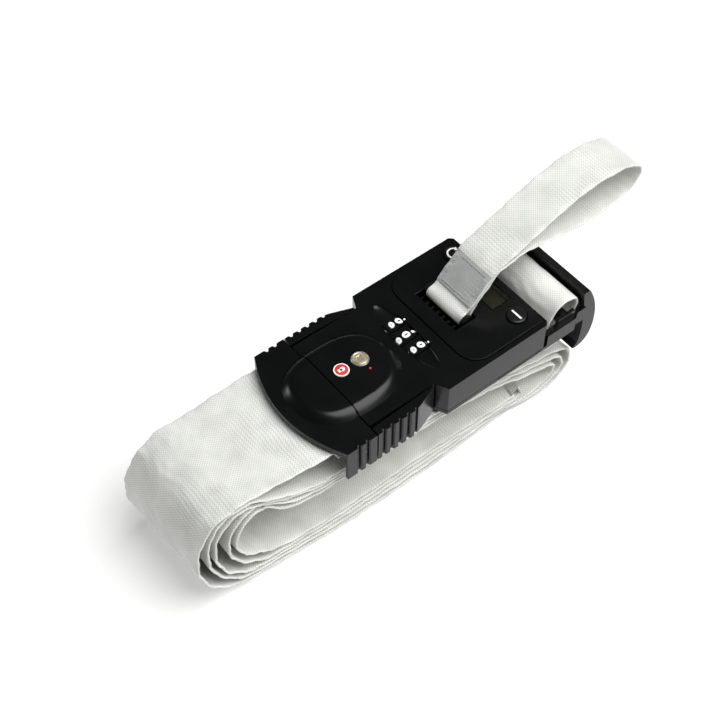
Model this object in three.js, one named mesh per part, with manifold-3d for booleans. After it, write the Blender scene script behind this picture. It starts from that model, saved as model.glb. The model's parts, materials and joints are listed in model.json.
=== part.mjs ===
// Luggage strap: a combination-lock buckle with a built-in hand scale, its wound webbing and hand loop.
// Millimetres, +Z up. The buckle is modelled in a frame of its own: X runs along it from the plug to
// the end plate, X = 0 is the seam between plug and housing, Y runs across, Z = 0 is its top face.
import * as THREE from "three";
import { mergeVertices } from "three/addons/utils/BufferGeometryUtils.js";
import Module from "manifold-3d";

const wasm = await Module();
wasm.setup();

// ---- driving dimensions --------------------------------------------------------------------------
const gap = 0.3;                 // running and seating clearance between pieces
const overlap = 1;               // how far a cutting tool runs past the face it cuts

const shellHeight = 16;          // buckle, top face to underside
const shellHalf = 29.3;          // half of the buckle's width over the scale
const wall = 1.9;                // side walls
const deck = 2.3;                // top plate of the covers
const floor = 1.8;               // bottom plate of the housing
const scaleEnd = 85.5;           // far end of the scale housing
const neckHalf = 23.7;           // half width of the housing between the release arms
const neckEnd = 31.4;            // where the neck meets the wide part
const shoulder = 2.7;            // length of the slanted shoulder
const armHalf = 28.9;            // outer face of the release arms

const seamHalfGap = 0.25;        // plug and housing meet at X = 0 with this on each side
const plugLength = 14;           // plug cover at its sides
const plugBow = 8;               // how far the plug's end bows out at the middle
const plugWall = 1.4;            // plug's side walls

const ribPitch = 3.9;            // finger grooves on the plug and the arms, flaring out to round ribs
const grooveWidth = 0.9, grooveDepth = 1.1, grooveFlare = 1.15;
const plugGroove = -8.4, armGroove = 3.3;      // the first groove of the plug and of each arm

const domeX = 6, domeHalfLength = 23.3, domeHalfWidth = 18.3, domeHeight = 3;
const domeRim = 5, domeCrown = 0.25, domeSquareness = 2.5;   // sloping rim, rise inside it, plan shape

const dialX = 38.2, dialRadius = 7, dialProud = 0.4, dialWidth = 4.4, dialPitch = 7.3, dialMiddleY = 1;
const dialDepth = dialRadius - dialProud;      // the wheels' axis below the top face
const dialTurns = [18, -2, 9];    // degrees that each wheel has been turned, first to last
const dialClearance = 0.7, dialSideGap = 0.4, shaftRadius = 1.5, sleeveRadius = 3;
const scoop = { x: 37.6, y: 0.6, halfLength: 19.5, halfWidth: 5, depth: 1.5 };

const keyX = 15.6, keyY = 1.3, keyRadius = 2.7, collarRadius = 3.6, collarDepth = 6;

const panel = { x0: 47.6, x1: scaleEnd - 1.5, half: shellHalf - 2.4, radius: 9, rise: 0.5, depth: 1.2 };
const windowBox = { x0: scaleEnd - 13.5, x1: scaleEnd - 3.5, y0: -10.8, y1: 13.2 };
const buttonRadius = 4.1, buttonRise = 0.9;
const powerAt = [scaleEnd - 7.9, -18.7], unitAt = [scaleEnd - 6.1, 20.8];
const boardTop = -6.6, boardThick = 1.4;

const linkX = 60.5, linkY = 2.5, linkZ = 0, linkRadius = 1.4;
const loopWidth = 20, loopThick = 1.2;

const barX = scaleEnd + 11.5, barZ = -8.6, barRadius = 3;   // adjuster bar
const plateHalf = 27;            // half width of the curved end plate

const strapWidth = 50, strapThick = 1.3;
const floorZ = -58;              // surface that the wound webbing lies on
const turnPitch = 2.1;           // spacing of the turns where they lie on each other

const cellRadius = 10, cellThick = 3.2, cellAt = [scaleEnd - 14.5, -14.6];

// ---- finishes ------------------------------------------------------------------------------------
const finish = (color, roughness, metalness = 0) => () =>
  new THREE.MeshStandardMaterial({ color, roughness, metalness });
const blackPlastic = finish("#141616", 0.34);
const blackNylon = finish("#1a1b1c", 0.5);
const webbing = finish("#d9dad6", 0.7);
const steel = finish("#b9bcc0", 0.28, 1);
const zinc = finish("#8e9196", 0.4, 1);
const brass = finish("#c9ab6a", 0.3, 1);
const board = finish("#1d4a2c", 0.6);
const displayGlass = finish("#3c3c28", 0.2);
const lens = finish("#23241c", 0.08);
const badgeEnamel = finish("#c9211e", 0.35);

// ---- helpers -------------------------------------------------------------------------------------
const buckle = new THREE.Group();
const top = -deck;               // underside of the top plate
const bottom = -shellHeight;
const sides = [["left", 1], ["right", -1]];

function add(name, shape, material, place = buckle) {
  const geometry = shape.isBufferGeometry ? shape : geometryOf(shape);
  geometry.computeVertexNormals();
  const mesh = new THREE.Mesh(geometry, material());
  mesh.name = name;
  place.add(mesh);
}

function solidOf(geometry) {
  const bare = geometry.clone();
  bare.deleteAttribute("normal");
  bare.deleteAttribute("uv");
  const merged = mergeVertices(bare, 1e-4);
  return new wasm.Manifold(new wasm.Mesh({
    numProp: 3,
    vertProperties: new Float32Array(merged.attributes.position.array),
    triVerts: new Uint32Array(merged.index.array),
  }));
}

function geometryOf(solid) {
  const mesh = solid.getMesh();
  const geometry = new THREE.BufferGeometry();
  geometry.setAttribute("position", new THREE.BufferAttribute(new Float32Array(mesh.vertProperties), 3));
  geometry.setIndex(new THREE.BufferAttribute(new Uint32Array(mesh.triVerts), 1));
  return geometry;
}

const join = (first, ...others) => others.reduce((sum, next) => sum.add(next), first);
const cut = (body, ...tools) => tools.reduce((rest, tool) => rest.subtract(tool), body);

function box(x0, x1, y0, y1, z0, z1) {
  const geometry = new THREE.BoxGeometry(x1 - x0, y1 - y0, z1 - z0);
  return solidOf(geometry.translate((x0 + x1) / 2, (y0 + y1) / 2, (z0 + z1) / 2));
}

// The same box on the left or right of the buckle, from near to far off its middle.
function sideBox(x0, x1, side, near, far, z0, z1) {
  return side > 0 ? box(x0, x1, near, far, z0, z1) : box(x0, x1, -far, -near, z0, z1);
}

// A round bar along Z, one along Y, and the same bar on either side.
function post(x, y, z0, z1, radius, facets = 24) {
  const geometry = new THREE.CylinderGeometry(radius, radius, z1 - z0, facets).rotateX(Math.PI / 2);
  return solidOf(geometry.translate(x, y, (z0 + z1) / 2));
}
function rod(x, z, y0, y1, radius, facets = 24) {
  const geometry = new THREE.CylinderGeometry(radius, radius, y1 - y0, facets);
  return solidOf(geometry.translate(x, (y0 + y1) / 2, z));
}
function sideRod(x, z, side, near, far, radius) {
  return side > 0 ? rod(x, z, near, far, radius) : rod(x, z, -far, -near, radius);
}

// A plan outline raised from z0 to z1, and a side profile of [x, z] points run from y0 to y1.
const shapeOf = (outline) => (outline instanceof THREE.Shape ? outline
  : new THREE.Shape(outline.map(([across, along]) => new THREE.Vector2(across, along))));
const extruded = (outline, depth) => new THREE.ExtrudeGeometry(shapeOf(outline),
  { depth, bevelEnabled: false, curveSegments: 10 });
function slab(outline, z0, z1) {
  return solidOf(extruded(outline, z1 - z0).translate(0, 0, z0));
}
function profileRun(outline, y0, y1) {
  return solidOf(extruded(outline, y1 - y0).rotateX(Math.PI / 2).translate(0, y1, 0));
}

const mirrored = (half) => [...half, ...half.map(([x, y]) => [x, -y]).reverse()];

// The raised dome that plug and housing share, cut at the seam by its caller: a rounded rim round a
// nearly flat top. It is turned as a round dome, and each point is then moved out to the plan's outline.
function dome() {
  const round = 20, steps = 7, side = domeHeight - domeCrown;
  const profile = [[0, -1], [round, -1]];
  for (let i = 0; i <= steps; i += 1) {
    profile.push([round - (domeRim * i) / steps, side * Math.sin((Math.PI / 2) * (i / steps))]);
  }
  profile.push([(round - domeRim) / 2, domeHeight - domeCrown / 4], [0, domeHeight]);
  const geometry = new THREE.LatheGeometry(profile.map(([r, z]) => new THREE.Vector2(r, z)), 60);
  const place = geometry.rotateX(Math.PI / 2).attributes.position;
  for (let i = 0; i < place.count; i += 1) {
    const x = place.getX(i), y = place.getY(i);
    const r = Math.hypot(x, y);
    const across = r > 0 ? x / r : 1, along = r > 0 ? y / r : 0;
    const outline = (Math.abs(across / domeHalfLength) ** domeSquareness
      + Math.abs(along / domeHalfWidth) ** domeSquareness) ** (-1 / domeSquareness);
    const inner = round - domeRim;
    const moved = r > inner ? outline - (round - r) : (r / inner) * (outline - domeRim);
    place.setXY(i, domeX + moved * across, moved * along);
  }
  return solidOf(geometry);
}

const far = 80;                  // well outside the buckle
const belowDome = () => box(-far, far, -far, far, -far, -0.5);

// Vertical finger grooves in a side face at y = side * half: narrow at the bottom, flared at the face.
function grooves(first, count, side, half) {
  const flank = [[grooveFlare, overlap], [grooveFlare, 0], [grooveWidth * 0.8, -grooveDepth * 0.35],
    [grooveWidth / 2, -grooveDepth]];
  return Array.from({ length: count }, (_, i) => {
    const x = first + i * ribPitch;
    const left = flank.map(([across, out]) => [x - across, side * (half + out)]);
    const right = flank.map(([across, out]) => [x + across, side * (half + out)]).reverse();
    return slab([...left, ...right], bottom - overlap, overlap);
  });
}

// ---- housing: lower shell, cover, scale panel ------------------------------------------------------
const screwSpots = [[6, 20.4], [6, -20.4], [50.5, 25.2], [50.5, -25.2]];
const screwRadius = 1, screwHead = 2, screwHeadDepth = 1.1, screwTip = -7, bossRadius = 2.4;
const floorTop = bottom + floor;
const mouthHalf = 19.6;                     // half width of the opening for the plug's tongue
const armPin = { x: 27.6, y: 20.6, radius: 0.9 };
const lugRoom = 2.6, seatHalf = 3.4;
const armSpring = { x: 11.5, z: -5.6, radius: 1.9, wire: 0.28, turns: 5, y0: 19.7, y1: 25.6 };
const cheekHalf = plateHalf - 0.8;          // inner face of the adjuster cheeks
const cheekTop = -8.7, cheekThick = 1.4, cheekRoot = 6;
const plateX = scaleEnd + 21, plateBow = 8.7;   // end plate's upper edge, and how far its back bows out
const plateFoot = -34;                      // lowest point of the end plate
const barRest = barRadius + 1.5, barLip = barRadius + 0.2;   // the bar's saddles, and
const barSeat = 0.6;                        // how far it is let into them
const door = { x0: scaleEnd - 25.5, x1: scaleEnd - 3.5, y1: -4.6, thick: 1.1, ledge: 2.2 };

function planOutline(inset) {
  const neck = neckHalf - inset, wide = shellHalf - inset;
  return mirrored([
    [seamHalfGap + inset, neck],
    [neckEnd + inset, neck],
    [neckEnd + shoulder + inset, wide],
    [scaleEnd - 1.6 - inset, wide],
    [scaleEnd - inset, wide - 1.6],
  ]);
}

// Side view of the end plate: a crescent that guards the adjuster and reaches below the buckle.
function endPlate() {
  const shape = new THREE.Shape();
  const back = plateX + plateBow;
  shape.moveTo(plateX, 0);
  shape.bezierCurveTo(plateX + 1, -10, plateX + 3.5, -22, plateX + 0.7, plateFoot + 2.5);
  shape.lineTo(plateX - 1.6, plateFoot + 0.6);
  shape.lineTo(plateX, plateFoot);
  shape.bezierCurveTo(back - 1.7, plateFoot, back, plateFoot + 7, back, plateFoot + 14);
  shape.bezierCurveTo(back, -12, back - 2.7, -5, plateX + 3.1, 0);
  return profileRun(shape, -plateHalf, plateHalf);
}

function housingBase() {
  const plate = slab(planOutline(0), bottom, floorTop);
  const cheeks = sides.map(([, side]) => {
    const outer = cheekHalf + cheekThick;
    const plan = (x0) => [[x0, cheekHalf], [plateX + 1.7, cheekHalf], [plateX + 1.7, outer],
      [plateX - 3, outer], [plateX - 5.5, shellHalf], [x0, shellHalf]].map(([x, y]) => [x, side * y]);
    const root = slab(plan(scaleEnd - cheekRoot), bottom, floorTop);
    return join(slab(plan(scaleEnd + gap), bottom, cheekTop), root);
  });
  const rests = sides.map(([, side]) => sideBox(barX - barRest, barX + barRest, side, cheekHalf,
    cheekHalf + cheekThick, bottom, barZ + barLip));
  let body = join(plate, ...cheeks, ...rests, endPlate());
  for (const [, side] of sides) {
    const seatEnd = cheekHalf + barSeat + gap;
    body = cut(body, sideRod(barX, barZ, side, cheekHalf - overlap, seatEnd, barRadius + gap));
  }
  for (const [x, y] of screwSpots) {
    body = cut(body, post(x, y, bottom - overlap, floorTop + overlap, screwRadius + gap),
      post(x, y, bottom - overlap, bottom + screwHeadDepth + gap, screwHead + gap));
  }
  const doorRecess = box(door.x0 - gap, door.x1 + gap, -shellHalf - overlap, door.y1 + gap,
    bottom - overlap, bottom + door.thick + gap);
  const cellOpening = box(door.x0 + door.ledge, door.x1 - door.ledge, cellAt[1] - cellRadius - gap,
    door.y1 - door.ledge, bottom, floorTop + overlap);
  return cut(body, doorRecess, cellOpening);
}

// Rounded panel outline between x0 and x1 with its two left corners rounded.
function panelOutline(grow) {
  const { x0, x1, half, radius } = panel;
  const left = x0 - grow, right = x1 + grow, side = half + grow, r = radius + grow;
  const shape = new THREE.Shape();
  shape.moveTo(right, -side);
  shape.lineTo(right, side);
  shape.lineTo(left + r, side);
  shape.absarc(left + r, side - r, r, Math.PI / 2, Math.PI, false);
  shape.absarc(left + r, -side + r, r, Math.PI, Math.PI * 1.5, false);
  return shape;
}

const loopSlot = { x0: 54, x1: 65, y0: -9.4, y1: 14.4 };
const linkLength = 23.2;

// Openings that run through both the panel and the cover.
function panelCuts(grow) {
  const { x0, x1, y0, y1 } = windowBox;
  const low = -6, high = 3, lip = 1, combRoom = 5 * grow;
  return [
    box(loopSlot.x0 - combRoom, loopSlot.x1 + grow, loopSlot.y0 - grow, loopSlot.y1 + grow, low, high),
    box(x0 + lip - grow, x1 - lip + grow, y0 + lip - grow, y1 - lip + grow, low, high),
    post(...powerAt, low, high, buttonRadius + gap + grow),
    post(...unitAt, low, high, buttonRadius + gap + grow),
  ];
}

function housingCover() {
  const skirtFoot = floorTop + gap;
  const outer = slab(planOutline(0), skirtFoot, 0);
  const hollow = slab(planOutline(wall), skirtFoot - overlap, top);
  let body = cut(outer, hollow);
  body = join(body, cut(dome(), box(-far, seamHalfGap, -far, far, -far, far), belowDome()));
  for (const [x, y] of screwSpots) {
    body = join(body, post(x, y, skirtFoot, top + 0.5, bossRadius));
    body = cut(body, post(x, y, skirtFoot - overlap, screwTip + overlap, screwRadius + gap));
  }
  // Dial windows, the finger scoop along them, and room for the wheels below.
  const scoopTool = new THREE.SphereGeometry(1, 28, 14).rotateX(Math.PI / 2);
  scoopTool.scale(scoop.halfWidth, scoop.halfLength, scoop.depth).translate(scoop.x, scoop.y, 0);
  body = cut(body, solidOf(scoopTool));
  for (let i = -1; i <= 1; i += 1) {
    const y = dialMiddleY - i * dialPitch;
    body = cut(body, rod(dialX, -dialDepth, y - dialWidth / 2 - dialSideGap, y + dialWidth / 2 + dialSideGap,
      dialRadius + dialClearance, 40));
  }
  // Key cylinder bore, panel recess, its openings, and the ports beside the release arms.
  body = cut(body, post(keyX, keyY, -collarDepth, far, collarRadius + gap));
  body = cut(body, slab(panelOutline(gap), -panel.depth, overlap), ...panelCuts(0.2));
  // The mouth for the plug's tongue and prongs, and the side ports for arm lugs and springs.
  body = cut(body, box(-overlap, wall + 1, -mouthHalf, mouthHalf, skirtFoot - overlap, -8.6));
  for (const [, side] of sides) {
    const lugPort = sideBox(armPin.x - lugRoom, neckEnd + 0.2, side, neckHalf - wall - 0.6, far, -13, -4);
    const portRadius = armSpring.radius + 0.7;
    const springPort = sideRod(armSpring.x, armSpring.z, side, armSpring.y0 + gap, far, portRadius);
    const springSeat = sideBox(armSpring.x - seatHalf, armSpring.x + seatHalf, side, armSpring.y0 - gap - 1,
      armSpring.y0 - gap, armSpring.z - 3.7, top + 0.5);
    body = join(cut(body, lugPort, springPort), springSeat);
  }
  return body;
}

function scalePanel() {
  let body = slab(panelOutline(0), -panel.depth + gap, panel.rise);
  body = cut(body, ...panelCuts(0));
  const { x0, x1, y0, y1 } = windowBox;
  body = cut(body, box(x0, x1, y0, y1, panel.rise - 0.6, 3));
  // Comb of short ribs on the slot's near edge.
  for (let y = loopSlot.y0 + 2.2; y < loopSlot.y1 - 1.5; y += 3.1) {
    body = join(body, box(loopSlot.x0 - 0.6, loopSlot.x0 + 2.4, y, y + 1.1, -3.4, -panel.depth + gap + 0.3));
  }
  return body;
}

function displayWindow() {
  const { x0, x1, y0, y1 } = windowBox;
  return box(x0 + 0.25, x1 - 0.25, y0 + 0.25, y1 - 0.25, panel.rise - 0.35, panel.rise - 0.05);
}

// ---- plug ------------------------------------------------------------------------------------------
const anchor = { x: -5.8, z: -6.9, radius: 1 };

function plugOutline(inset) {
  const shape = new THREE.Shape();
  const half = armHalf - inset, left = -plugLength + inset, right = -seamHalfGap - inset;
  shape.moveTo(right, -half);
  shape.lineTo(right, half);
  shape.lineTo(left, half);
  shape.quadraticCurveTo(left - 2 * plugBow, 0, left, -half);
  return shape;
}

function plugCover() {
  let body = slab(plugOutline(0), bottom, 0);
  // Hollow from below and open at the bowed end, leaving the top plate, two side walls and a rib.
  const inner = armHalf - plugWall, mouth = inner - 2, ribFoot = -8.4;
  body = cut(body, box(-far, -seamHalfGap - 1.6, -inner, inner, bottom - overlap, -2.7));
  body = cut(body, box(-far, overlap, -mouth, mouth, bottom - overlap, ribFoot));
  body = cut(body, box(-far, -plugLength - 0.05, -far, far, bottom - overlap, -2.6));
  body = join(body, cut(dome(), box(-seamHalfGap, far, -far, far, -far, far), belowDome()));
  for (const [, side] of sides) body = cut(body, ...grooves(plugGroove, 2, side, armHalf));
  body = cut(body, rod(anchor.x, anchor.z, -armHalf + 0.6, armHalf - 0.6, anchor.radius + 0.2));
  return body;
}

const tongue = { z0: -13.3, z1: -10.9, x0: -6, x1: 25, half: 11, rootHalf: 24, slit: 1.6 };

function plugTongue() {
  const { z0, z1, x0, x1, half, rootHalf, slit } = tongue;
  const prong = (side) => [[-2, side * 14], [15, side * 15], [17.5, side * 18.2], [21, side * 16.5],
    [21, side * 14], [-2, side * 10]];
  const outline = mirrored([[x0, rootHalf], [-2, rootHalf], [-2, half], [x1 - 2, half], [x1, half - 2]]);
  const plan = slab(outline, z0, z1);
  const slits = sides.map(([, side]) => sideBox(-1, 18, side, half, half + slit, z0 - overlap, z1 + overlap));
  const camHole = box(keyX - 2.4, keyX + 2.4, keyY - 2.4, keyY + 2.4, z0 - overlap, z1 + overlap);
  return cut(join(plan, slab(prong(1).reverse(), z0, z1), slab(prong(-1), z0, z1)), ...slits, camHole);
}

// ---- release arms and their springs ----------------------------------------------------------------
const armGap = 1.05;             // room at the seam end for the squeeze

function releaseArm(side) {
  const inner = neckHalf + gap;
  const plan = [[seamHalfGap + 0.1, inner + armGap], [24, inner + 0.25], [neckEnd - 0.6, inner],
    [neckEnd - 0.6, inner + 0.5], [29.2, inner + 1.1], [25.6, 26.5], [21, 28.2], [17.6, armHalf],
    [seamHalfGap + 0.1, armHalf]];
  let body = slab((side > 0 ? [...plan].reverse() : plan).map(([x, y]) => [x, side * y]), bottom, 0);
  body = cut(body, ...grooves(armGroove, 5, side, armHalf));
  const lug = slab([[25.4, armPin.y - 1.8], [30.2, armPin.y - 1.8], [30.2, inner + 0.6], [25.4, inner + 0.6]]
    .map(([x, y]) => [x, side * y]), -12.6, -4.4);
  body = join(body, lug);
  body = cut(body, post(armPin.x, side * armPin.y, -14, -3, armPin.radius + 0.1));
  const springRoom = armSpring.radius + 0.6;
  return cut(body, sideRod(armSpring.x, armSpring.z, side, armPin.y, armSpring.y1 + gap, springRoom));
}

// Steel coil spring along Y, from y0 to y1 on the given side.
function coilSpring(side) {
  const { x, z, radius, wire, turns, y0, y1 } = armSpring;
  class Helix extends THREE.Curve {
    getPoint(t) {
      const angle = t * turns * 2 * Math.PI;
      const y = y0 + wire + 0.1 + t * (y1 - y0 - 2 * wire - 0.2);
      const r = radius - wire;
      return new THREE.Vector3(x + r * Math.cos(angle), side * y, z + r * Math.sin(angle));
    }
  }
  const section = new THREE.Shape();
  section.absarc(0, 0, wire, 0, 2 * Math.PI);
  const path = new Helix();
  return new THREE.ExtrudeGeometry(section, { steps: turns * 12, extrudePath: path, curveSegments: 3 });
}

// ---- webbing ---------------------------------------------------------------------------------------
// A strap as a closed band: its middle line runs through points [x, z, y, roll in degrees]. A ring of
// corners is kept wherever the line has turned or moved far enough, and none goes below the surface.
const maxStep = 9, maxTurn = THREE.MathUtils.degToRad(11);

function band(points, width, thick, closed = false) {
  const places = points.map(([x, z, y = 0]) => new THREE.Vector3(x, y, z));
  const rolls = points.map(([, , , roll = 0]) => THREE.MathUtils.degToRad(roll));
  const curve = new THREE.CatmullRomCurve3(places, closed, "centripetal");
  const fine = Math.round(curve.getLength() * 2);
  const spans = closed ? points.length : points.length - 1;
  const position = [];
  let kept = null;
  for (let i = 0; i <= fine; i += 1) {
    const u = i / fine;
    const turned = kept ? curve.getTangent(u).angleTo(kept.along) : Infinity;
    const moved = kept ? curve.getPoint(u).distanceTo(kept.centre) : Infinity;
    const last = i === fine;
    if (last ? closed : turned < maxTurn && moved < maxStep) continue;
    const at = Math.min(Math.floor(u * spans), spans - 1);
    const roll = THREE.MathUtils.lerp(rolls[at], rolls[(at + 1) % rolls.length], u * spans - at);
    const centre = curve.getPoint(u), along = curve.getTangent(u);
    kept = { centre, along };
    const across = new THREE.Vector3(0, Math.cos(roll), Math.sin(roll));
    const out = new THREE.Vector3().crossVectors(along, across).normalize();
    across.crossVectors(out, along).normalize();
    for (const [w, n] of [[-1, -1], [1, -1], [1, 1], [-1, 1]]) {
      const corner = centre.clone().addScaledVector(across, (w * width) / 2);
      corner.addScaledVector(out, (n * thick) / 2);
      position.push(corner.x, corner.y, Math.max(corner.z, floorZ));
    }
  }
  const rings = position.length / 12;
  const index = [];
  for (let i = 0; i < (closed ? rings : rings - 1); i += 1) {
    const a = i * 4, b = ((i + 1) % rings) * 4;
    for (let k = 0; k < 4; k += 1) {
      const next = (k + 1) % 4;
      index.push(a + k, a + next, b + next, a + k, b + next, b + k);
    }
  }
  if (!closed) {
    const last = (rings - 1) * 4;
    index.push(0, 2, 1, 0, 3, 2, last, last + 1, last + 2, last, last + 2, last + 3);
  }
  const geometry = new THREE.BufferGeometry();
  geometry.setAttribute("position", new THREE.BufferAttribute(new Float32Array(position), 3));
  geometry.setIndex(index);
  return solidOf(geometry).volume() > 0 ? geometry : flipped(geometry);
}

function flipped(geometry) {
  const index = geometry.index.array;
  for (let i = 0; i < index.length; i += 3) [index[i], index[i + 1]] = [index[i + 1], index[i]];
  return geometry;
}

const leadY = 2;                 // the webbing leaves the plug this far off its middle
const bendY = 3.4;               // and rounds the far bend here
const bendRoll = -9;             // tilt of the webbing at the far bend, in degrees
const leadEnd = -50;             // where the lead meets the wound part
const rest = (turn) => floorZ + strapThick / 2 - 0.05 + turn * turnPitch;

// From the sewn end under the anchor bar, round the bar and out of the plug.
function leadRoute() {
  const r = anchor.radius + gap + strapThick / 2;
  const { x, z } = anchor;
  return [[x - 8, z - r, leadY], [x - 3, z - r, leadY], [x, z - r, leadY], [x + r * 0.7, z - r * 0.7, leadY],
    [x + r, z, leadY], [x + r * 0.7, z + r * 0.7, leadY], [x, z + r, leadY], [x - 5, z + r, leadY],
    [-22, -4.8, leadY + 0.3, -1], [-36, -5, 2.9, -4], [leadEnd + 0.2, -4.9, 3.1, -7]];
}

// The far bend of each turn, top to bottom, nearest the outside first.
const farBends = [
  [[-60, -5], [-68, -8.2], [-74.4, -16.4], [-76.8, -27], [-75.4, -38.4], [-70.6, -48.2], [-61.5, -53.9]],
  [[-52, -7.3], [-61.5, -8.2], [-68.4, -13], [-71.8, -22.5], [-71.4, -33.6], [-67.2, -44.2], [-59, -51.8]],
  [[-50, -11], [-59.5, -11], [-66, -16.2], [-68.9, -25.7], [-67.6, -36.4], [-63.6, -44.8], [-55.5, -50.6]],
  [[-47, -13], [-54.5, -13.6], [-60.6, -19.2], [-63, -27.6], [-61.4, -37], [-56.6, -44.6], [-48.5, -49.2]],
  [[-45, -16.6], [-51, -17], [-57, -21.2], [-59.4, -28.6], [-57.8, -36.2], [-52.4, -42.6], [-44.5, -46.2]],
];
// The near bend of each of the three turns that reach it, bottom to top.
const nearBends = [
  [[93, -57], [102.5, -54], [108, -47], [107.2, -39.4], [100.5, -34.2]],
  [[88, -54.9], [98, -52.4], [103.8, -47], [103, -41], [96.6, -37.2]],
  [[83, -52.8], [92.6, -50.8], [99, -47], [98.8, -43], [92.6, -40]],
];
const fanOut = [-2.2, -1.5, -0.9, -0.4, 0];   // how far each turn spreads to the near side on the floor

const bend = (points, y, roll) => points.map(([x, z], i) => [x, z, y, roll * [0.7, 1, 1, 1, 1, 0.9, 0.5][i]]);
const onFloor = (turn) => [-36, -14, 10, 34, 58, 74].map((x) => {
  const spread = Math.sin((Math.PI * (x + 62)) / 160) ** 1.5;
  const lift = x < -30 ? 1.5 : 0;
  return [x, rest(turn) + lift, bendY + fanOut[turn] * spread, x < -30 ? bendRoll / 9 : 0];
});
// Runs under the buckle, from the near bend up to the far one.
const underRun = [[86, -30.6], [68, -26.2], [42, -22], [14, -20.2], [-8, -20.4], [-22, -19.4], [-34, -16.6]];
const underBuckle = (row) => underRun.map(([x, z], i) => [x - row * 2, z - row * (i === 0 ? 3.2 : 2),
  i > 3 ? 1.8 : 1, i > 5 ? bendRoll * 0.4 : 0]);

// Whole wound strap, from the end of the lead to the free tail.
function woundRoute() {
  const turn = (far, near, row) => [...bend(farBends[far], bendY, bendRoll), ...onFloor(far),
    ...bend(nearBends[near], 1, 0), ...underBuckle(row)];
  const fold = [[72, rest(4), 2.4], [80.5, rest(4) - 0.1, 2.4], [82.4, (rest(4) + rest(3)) / 2, 2],
    [80.5, rest(3) + 0.1, 2], [72, rest(3), 2]];
  const innerFloor = (level) => onFloor(level).slice(0, 4);
  const first = [[leadEnd - gap, -4.95, 3.1, -7], ...turn(0, 0, 0), ...turn(2, 2, 2),
    ...bend(farBends[4], bendY, bendRoll), ...innerFloor(4)];
  const second = [...bend(farBends[3], bendY, bendRoll), ...innerFloor(3)].reverse();
  const third = turn(1, 1, 1).reverse();
  return [...first, ...fold, ...second, ...third, ...adjusterRoute()];
}

// Up the far slot, over the bar in a high arch, down the near slot and back below the buckle.
function adjusterRoute() {
  const below = [[-38, -13, 1.9, bendRoll * 0.35], [-24, -17.5, 1.8], [-8, -18.2, 1.6], [14, -18.1, 0.5],
    [42, -19.4]];
  const overBar = [[-29, -22.6], [-11, -24.6], [0, -24.3], [5.6, -20.5], [6.9, -14], [8.1, -8], [7.9, -3.8],
    [4.2, -1.2], [-0.4, -1.8], [-4.4, -5], [-6.8, -9.8], [-8.4, -14.5], [-11.6, -18.2]];
  return [...below, ...overBar.map(([x, z]) => [barX + x, z])];
}

// ---- hand loop -------------------------------------------------------------------------------------
function loopRoute() {
  const r = linkRadius + gap + loopThick / 2;
  const rise = THREE.MathUtils.degToRad(46);
  const dir = [Math.cos(rise), Math.sin(rise)];
  const off = (along, side) => [linkX + dir[0] * along - dir[1] * side,
    linkZ + dir[1] * along + dir[0] * side];
  const wrap = [off(3.4, -1.3), off(0.4, -r), off(-r * 0.72, -r * 0.7), off(-r, 0), off(-r * 0.72, r * 0.7),
    off(0.4, r), off(3.4, 1.3)];
  const upper = [off(9, 0.85), off(16, 0.85), off(22, 0.95), [80, 18.8], [86, 20.8], [93, 23.4], [103, 27.2],
    [114, 30.6], [125, 32.8], [136, 32.8], [145.6, 31], [151.4, 27.6]];
  const lower = [[153, 23.4], [151, 19.2], [147, 16.2], [139.5, 13.9], [125, 12.8], [112, 14.2], [101, 16.8],
    [92, 18.2], [84, 17.4], off(22, -0.75), off(16, -0.85), off(9, -0.85)];
  return [...wrap, ...upper, ...lower].map(([x, z]) => [x, z, linkY, 0]);
}

// ---- assembly: housing -------------------------------------------------------------------------------
add("housing_base", housingBase(), blackPlastic);
add("housing_cover", housingCover(), blackPlastic);
add("scale_panel", scalePanel(), blackPlastic);
add("display_window", displayWindow(), lens);
screwSpots.forEach(([x, y], i) => {
  const head = post(x, y, bottom + 0.2, bottom + screwHeadDepth, screwHead, 16);
  add(`housing_screw_${i + 1}`, join(head, post(x, y, bottom + 0.5, screwTip, screwRadius, 12)), zinc);
});

// Scale mechanism.
const displayTop = -panel.depth - gap - 1.2;
add("display_module", box(windowBox.x0 + 0.4, windowBox.x1 - 0.4, windowBox.y0 + 0.5, windowBox.y1 - 0.5,
  displayTop - 1.8, displayTop), displayGlass);
const underBoard = boardTop - boardThick;
add("circuit_board", box(scaleEnd - 18.5, scaleEnd - 2.5, -23.4, 24.6, underBoard, boardTop), board);
const buttonSpots = [["power", powerAt], ["unit", unitAt]];
for (const [name, [x, y]] of buttonSpots) {
  const cap = post(x, y, -2.5, panel.rise + buttonRise, buttonRadius, 32);
  const switchHalf = 1.7;
  const can = box(x - switchHalf, x + switchHalf, y - switchHalf, y + switchHalf, boardTop + 0.1,
    boardTop + 1);
  add(`${name}_button`, join(cap, post(x, y, -4.3, -2, 1.2, 16)), blackNylon);
  add(`${name}_switch`, join(can, post(x, y, boardTop + 0.8, boardTop + 1.25, 1, 16)), steel);
}
const cellBar = { x0: linkX - 9.5, x1: scaleEnd - 2.9, y0: -2.8, y1: 7.8, z0: -13.4, z1: -9.6 };
const strainHoles = { x0: linkX + 5.5, x1: linkX + 11, y: linkY, radius: 2.2, slot: 1.1 };
const throughHole = (x) => post(x, strainHoles.y, bottom, 0, strainHoles.radius);
add("load_cell", cut(box(cellBar.x0, cellBar.x1, cellBar.y0, cellBar.y1, cellBar.z0, cellBar.z1),
  throughHole(strainHoles.x0), throughHole(strainHoles.x1), box(strainHoles.x0, strainHoles.x1,
    strainHoles.y - strainHoles.slot, strainHoles.y + strainHoles.slot, bottom, 0)), zinc);
const hookZ = cellBar.z1 + gap;
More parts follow.
